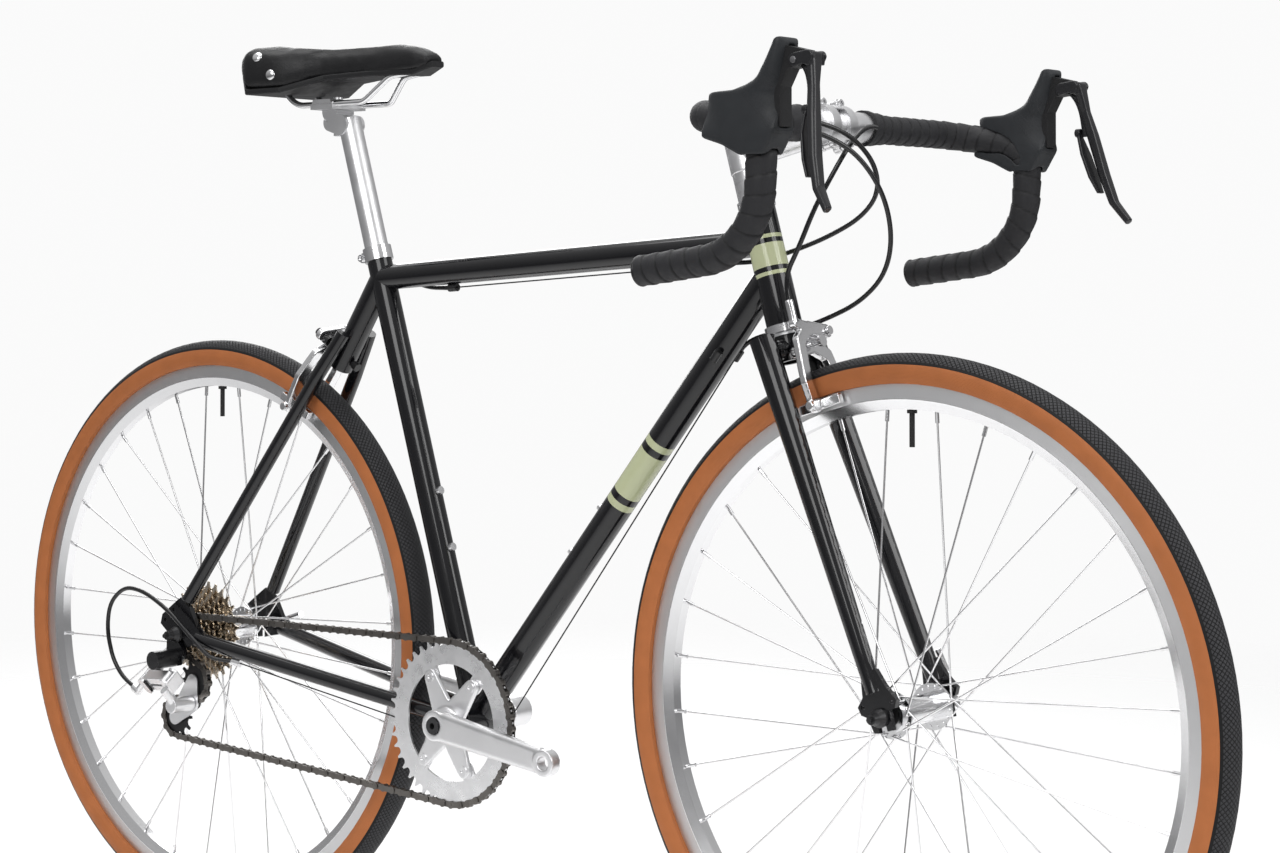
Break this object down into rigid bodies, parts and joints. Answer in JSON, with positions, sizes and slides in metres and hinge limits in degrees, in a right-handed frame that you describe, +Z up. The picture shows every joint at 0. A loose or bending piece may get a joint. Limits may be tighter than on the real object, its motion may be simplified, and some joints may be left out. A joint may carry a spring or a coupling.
{
  "type": "road bicycle",
  "caption": "Steel road bicycle with drop bar, rim brakes, single chainring, rear derailleur and spoked wheels; steers, rolls, pedals, brakes and shifts",
  "frame": {"origin": "on the ground, midway between the two axles, in the plane of the wheels", "axes": "+X points forward, +Y to the rider's left, +Z up"},
  "size_m": [1.6918, 0.546, 1.0398],
  "materials": {
    "frame_paint": "gloss black paint",
    "polished_alloy": "polished aluminium",
    "rim_alloy": "polished with turned brake tracks",
    "dark_steel": "blackened steel",
    "cable_black": "smooth black cable casing",
    "satin_black": "satin black",
    "tape_black": "wrapped matt tape",
    "black_plastic": "matt moulded plastic",
    "hood_rubber": "matt rubber",
    "chain_steel": "oiled steel",
    "tyre_rubber": "black tread with tan sidewalls",
    "spoke_steel": "bright drawn wire",
    "cassette_steel": "nickel plated",
    "chrome_steel": "bright chrome",
    "saddle_black": "smooth black cover"
  },
  "bodies": {
    "frame": {"head_tube": "frame_paint", "top_tube": "frame_paint", "down_tube": "frame_paint", "seat_tube": "frame_paint", "chainstays": "frame_paint", "seat_stays": "frame_paint", "headset_cups": "polished_alloy", "seat_collar": "polished_alloy", "bottom_bracket_cartridge": "dark_steel", "frame_fittings": "dark_steel", "frame_cables": "cable_black", "rear_axle": "dark_steel", "derailleur_base": "satin_black", "chain": "chain_steel", "steering_cables": "cable_black"},
    "steering": {"fork": "frame_paint", "stem": "polished_alloy", "stem_clamp": "polished_alloy", "handlebar": "polished_alloy", "bar_tape": "tape_black", "lever_brackets": "black_plastic", "lever_hoods": "hood_rubber", "front_axle": "dark_steel", "front_brake_mount": "polished_alloy", "front_brake_cable": "cable_black"},
    "front_wheel": {"front_rim": "rim_alloy", "front_tyre": "tyre_rubber", "front_hub": "polished_alloy", "front_spokes": "spoke_steel"},
    "rear_wheel": {"rear_rim": "rim_alloy", "rear_tyre": "tyre_rubber", "rear_hub": "polished_alloy", "rear_spokes": "spoke_steel"},
    "freewheel": {"cassette": "cassette_steel", "freehub_body": "dark_steel"},
    "crankset": {"crank_spindle": "dark_steel", "right_crank": "polished_alloy", "left_crank": "polished_alloy", "chainring": "polished_alloy"},
    "derailleur_outer": {"derailleur_outer_link": "satin_black"},
    "derailleur_inner": {"derailleur_inner_link": "satin_black"},
    "derailleur_knuckle": {"derailleur_knuckle": "satin_black"},
    "derailleur_cage": {"derailleur_cage": "polished_alloy"},
    "guide_pulley": {"guide_pulley": "black_plastic"},
    "tension_pulley": {"tension_pulley": "black_plastic"},
    "front_short_arm": {"front_brake_short_arm": "polished_alloy"},
    "front_long_arm": {"front_brake_long_arm": "polished_alloy"},
    "rear_short_arm": {"rear_brake_short_arm": "polished_alloy"},
    "rear_long_arm": {"rear_brake_long_arm": "polished_alloy"},
    "left_lever": {"brake_lever_left": "satin_black"},
    "right_lever": {"brake_lever_right": "satin_black"},
    "left_paddle": {"shift_paddle_left": "satin_black"},
    "right_paddle": {"shift_paddle_right": "satin_black"},
    "front_release": {"front_release_lever": "polished_alloy"},
    "rear_release": {"rear_release_lever": "polished_alloy"},
    "seatpost": {"seatpost": "polished_alloy"},
    "saddle_clamp": {"saddle_clamp": "polished_alloy"},
    "saddle": {"saddle_rails": "chrome_steel", "saddle_shell": "black_plastic", "saddle_cover": "saddle_black"}
  },
  "joints": [
    {"name": "steering_turn", "type": "hinge", "parent": "frame", "child": "steering", "pos_m": [0.45474, 0, 0.3356], "axis": [-0.2756, 0, 0.9613], "range_deg": [-45, 45], "deforming": ["steering_cables"]},
    {"name": "front_wheel_spin", "type": "hinge", "parent": "steering", "child": "front_wheel", "pos_m": [0.498, 0, 0.348], "axis": [0, 1, 0], "continuous": true},
    {"name": "rear_wheel_spin", "type": "hinge", "parent": "frame", "child": "rear_wheel", "pos_m": [-0.498, 0, 0.348], "axis": [0, 1, 0], "continuous": true},
    {"name": "crank_turn", "type": "hinge", "parent": "frame", "child": "crankset", "pos_m": [-0.07699, 0, 0.283], "axis": [0, 1, 0], "continuous": true, "deforming": ["chain"]},
    {"name": "freewheel_turn", "type": "hinge", "parent": "frame", "child": "freewheel", "pos_m": [-0.498, 0, 0.348], "axis": [0, 1, 0], "continuous": true},
    {"name": "derailleur_shift", "type": "hinge", "parent": "frame", "child": "derailleur_outer", "pos_m": [-0.532, -0.084, 0.296], "axis": [0.1228, 0.7071, 0.6964], "range_deg": [0, 57], "deforming": ["chain"]},
    {"name": "derailleur_inner_turn", "type": "hinge", "parent": "frame", "child": "derailleur_inner", "pos_m": [-0.53278, -0.07507, 0.28707], "axis": [0.1228, 0.7071, 0.6964], "range_deg": [0, 57]},
    {"name": "derailleur_knuckle_turn", "type": "hinge", "parent": "derailleur_outer", "child": "derailleur_knuckle", "pos_m": [-0.48405, -0.09724, 0.30099], "axis": [0.1228, 0.7071, 0.6964], "range_deg": [-57, 0]},
    {"name": "cage_swing", "type": "hinge", "parent": "derailleur_knuckle", "child": "derailleur_cage", "pos_m": [-0.48, -0.06, 0.268], "axis": [0, 1, 0], "range_deg": [-45, 8], "stiffness_Nm_per_rad": 0.4, "springref_deg": 8.02, "deforming": ["chain"]},
    {"name": "guide_pulley_turn", "type": "hinge", "parent": "derailleur_cage", "child": "guide_pulley", "pos_m": [-0.478, -0.0593, 0.293], "axis": [0, 1, 0], "continuous": true},
    {"name": "tension_pulley_turn", "type": "hinge", "parent": "derailleur_cage", "child": "tension_pulley", "pos_m": [-0.50901, -0.0593, 0.24855], "axis": [0, 1, 0], "continuous": true},
    {"name": "brake_lever_left_pull", "type": "hinge", "parent": "steering", "child": "left_lever", "pos_m": [0.534, 0.233, 0.964], "axis": [0, 1, 0], "range_deg": [0, 16], "stiffness_Nm_per_rad": 0.6, "springref_deg": -2.86},
    {"name": "brake_lever_right_pull", "type": "hinge", "parent": "steering", "child": "right_lever", "pos_m": [0.534, -0.233, 0.964], "axis": [0, 1, 0], "range_deg": [0, 16], "stiffness_Nm_per_rad": 0.6, "springref_deg": -2.86},
    {"name": "shift_paddle_left_push", "type": "hinge", "parent": "left_lever", "child": "left_paddle", "pos_m": [0.545, 0.24, 0.919], "axis": [-1, 0, 0], "range_deg": [0, 12], "stiffness_Nm_per_rad": 0.2, "springref_deg": -1.15},
    {"name": "shift_paddle_right_push", "type": "hinge", "parent": "right_lever", "child": "right_paddle", "pos_m": [0.545, -0.24, 0.919], "axis": [1, 0, 0], "range_deg": [0, 12], "stiffness_Nm_per_rad": 0.2, "springref_deg": -1.15},
    {"name": "front_short_arm_turn", "type": "hinge", "parent": "steering", "child": "front_short_arm", "pos_m": [0.35165, 0, 0.69511], "axis": [0.9613, 0, 0.2756], "range_deg": [-1.6, 0]},
    {"name": "front_long_arm_turn", "type": "hinge", "parent": "steering", "child": "front_long_arm", "pos_m": [0.34862, 0.018, 0.70568], "axis": [0.9613, 0, 0.2756], "range_deg": [0, 1.42]},
    {"name": "rear_short_arm_turn", "type": "hinge", "parent": "frame", "child": "rear_short_arm", "pos_m": [-0.28685, 0, 0.67947], "axis": [-0.8434, 0, 0.5373], "range_deg": [-1.12, 0]},
    {"name": "rear_long_arm_turn", "type": "hinge", "parent": "frame", "child": "rear_long_arm", "pos_m": [-0.28094, -0.018, 0.68874], "axis": [-0.8434, 0, 0.5373], "range_deg": [0, 1]},
    {"name": "front_release_open", "type": "hinge", "parent": "steering", "child": "front_release", "pos_m": [0.498, 0.0713, 0.348], "axis": [-0.9613, 0, -0.2756], "range_deg": [0, 170]},
    {"name": "rear_release_open", "type": "hinge", "parent": "frame", "child": "rear_release", "pos_m": [-0.498, 0.0863, 0.348], "axis": [-0.2588, 0, 0.9659], "range_deg": [0, 170]},
    {"name": "seatpost_slide", "type": "slide", "parent": "frame", "child": "seatpost", "axis": [-0.2915, 0, 0.9566], "range_m": [-0.1, 0.05]},
    {"name": "saddle_tilt", "type": "hinge", "parent": "seatpost", "child": "saddle_clamp", "pos_m": [-0.3, 0, 0.964], "axis": [0, 1, 0], "range_deg": [-2, 6]},
    {"name": "saddle_setback", "type": "slide", "parent": "saddle_clamp", "child": "saddle", "axis": [1, 0, 0], "range_m": [-0.015, 0.015]}
  ],
  "couplings": [
    {"joint": "freewheel_turn", "follows": "crank_turn", "ratio": 4},
    {"joint": "guide_pulley_turn", "follows": "crank_turn", "ratio": -4},
    {"joint": "tension_pulley_turn", "follows": "crank_turn", "ratio": 4},
    {"joint": "derailleur_inner_turn", "follows": "derailleur_shift", "ratio": 1},
    {"joint": "derailleur_knuckle_turn", "follows": "derailleur_shift", "ratio": -1},
    {"joint": "front_short_arm_turn", "follows": "brake_lever_left_pull", "ratio": -0.1},
    {"joint": "front_long_arm_turn", "follows": "brake_lever_left_pull", "ratio": 0.0889},
    {"joint": "rear_short_arm_turn", "follows": "brake_lever_right_pull", "ratio": -0.07},
    {"joint": "rear_long_arm_turn", "follows": "brake_lever_right_pull", "ratio": 0.0622}
  ]
}
